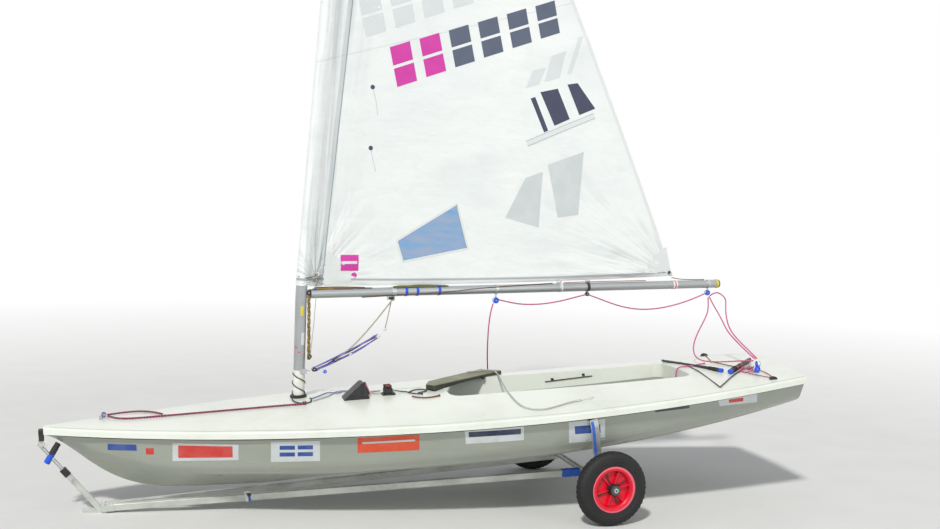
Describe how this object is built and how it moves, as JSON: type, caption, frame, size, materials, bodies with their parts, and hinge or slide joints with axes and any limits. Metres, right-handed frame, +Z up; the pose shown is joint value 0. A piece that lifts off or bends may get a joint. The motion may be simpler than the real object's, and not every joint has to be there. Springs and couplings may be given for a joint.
{
  "type": "sailing dinghy",
  "caption": "Decked sailing dinghy with a sleeved sail on an unstayed bent mast and a boom, held at bow and gunwales on its wheeled launching trolley.",
  "frame": {"origin": "centre of the footprint on the ground: middle of the overall length and width, at the height of the tyres and the trolley foot", "axes": "+X aft (the bow points to -X), +Y to starboard, +Z up"},
  "size_m": [4.2981, 1.524, 5.3316],
  "materials": {
    "gelcoat_hull": "glossy gelcoat",
    "gelcoat_deck": "satin non-slip gelcoat",
    "spar": "anodised",
    "trolley_tube": "weathered",
    "sailcloth": "woven cloth",
    "tyre": "matt",
    "rim": "moulded",
    "steel": "brushed",
    "black_fitting": "moulded",
    "blue_fitting": "moulded",
    "rubber": "matt",
    "board": "moulded",
    "bar": "satin",
    "webbing": "webbing",
    "rope": "braided"
  },
  "bodies": {
    "boat": {"axle": "trolley_tube", "beam_port": "trolley_tube", "beam_starboard": "trolley_tube", "bow_eye": "steel", "bow_pad": "rubber", "bow_pad_bracket": "trolley_tube", "compass_dial": "black_fitting", "compass_housing": "black_fitting", "control_cleats": "black_fitting", "daggerboard": "board", "deck": "gelcoat_deck", "fairlead_port": "black_fitting", "fairlead_starboard": "black_fitting", "front_bracket": "trolley_tube", "front_foot": "trolley_tube", "front_post": "trolley_tube", "hanger_pad_port": "rubber", "hanger_pad_starboard": "rubber", "hanger_port": "trolley_tube", "hanger_starboard": "trolley_tube", "hull": "gelcoat_hull", "lower_gudgeon": "steel", "mast_collar": "black_fitting", "painter": "rope", "painter_tail": "rope", "post_sleeve": "black_fitting", "post_tube": "steel", "rest_arm": "blue_fitting", "stem_rest": "rubber", "tiller": "bar", "tiller_extension": "bar", "toe_strap": "webbing", "traveller_block": "blue_fitting", "upper_gudgeon": "steel"},
    "wheel_port": {"tyre_port": "tyre", "rim_port": "rim", "hub_port": "steel"},
    "wheel_starboard": {"tyre_starboard": "tyre", "rim_starboard": "rim", "hub_starboard": "steel"},
    "rig": {"boom": "spar", "boom_end_block": "blue_fitting", "boom_end_plug": "black_fitting", "boom_forward_block": "blue_fitting", "boom_front_plug": "black_fitting", "boom_middle_strap": "black_fitting", "gooseneck": "steel", "lower_mast": "spar", "mast_cap": "black_fitting", "mast_joint": "black_fitting", "sail": "sailcloth", "sheet_swag_aft": "rope", "sheet_swag_forward": "rope", "upper_mast": "spar", "vang_key": "steel", "vang_tang": "steel"}
  },
  "joints": [
    {"name": "wheel_port_spin", "type": "hinge", "parent": "boat", "child": "wheel_port", "pos_m": [0.84479, -0.697, 0.203], "axis": [-0.1045, 0.9945, 0], "continuous": true},
    {"name": "wheel_starboard_spin", "type": "hinge", "parent": "boat", "child": "wheel_starboard", "pos_m": [0.84479, 0.697, 0.203], "axis": [0.1045, 0.9945, 0], "continuous": true},
    {"name": "rig_swing", "type": "hinge", "parent": "boat", "child": "rig", "pos_m": [-0.76024, 0, 0.60709], "axis": [0.0061, 0, 1], "range_deg": [-98, 80]}
  ]
}
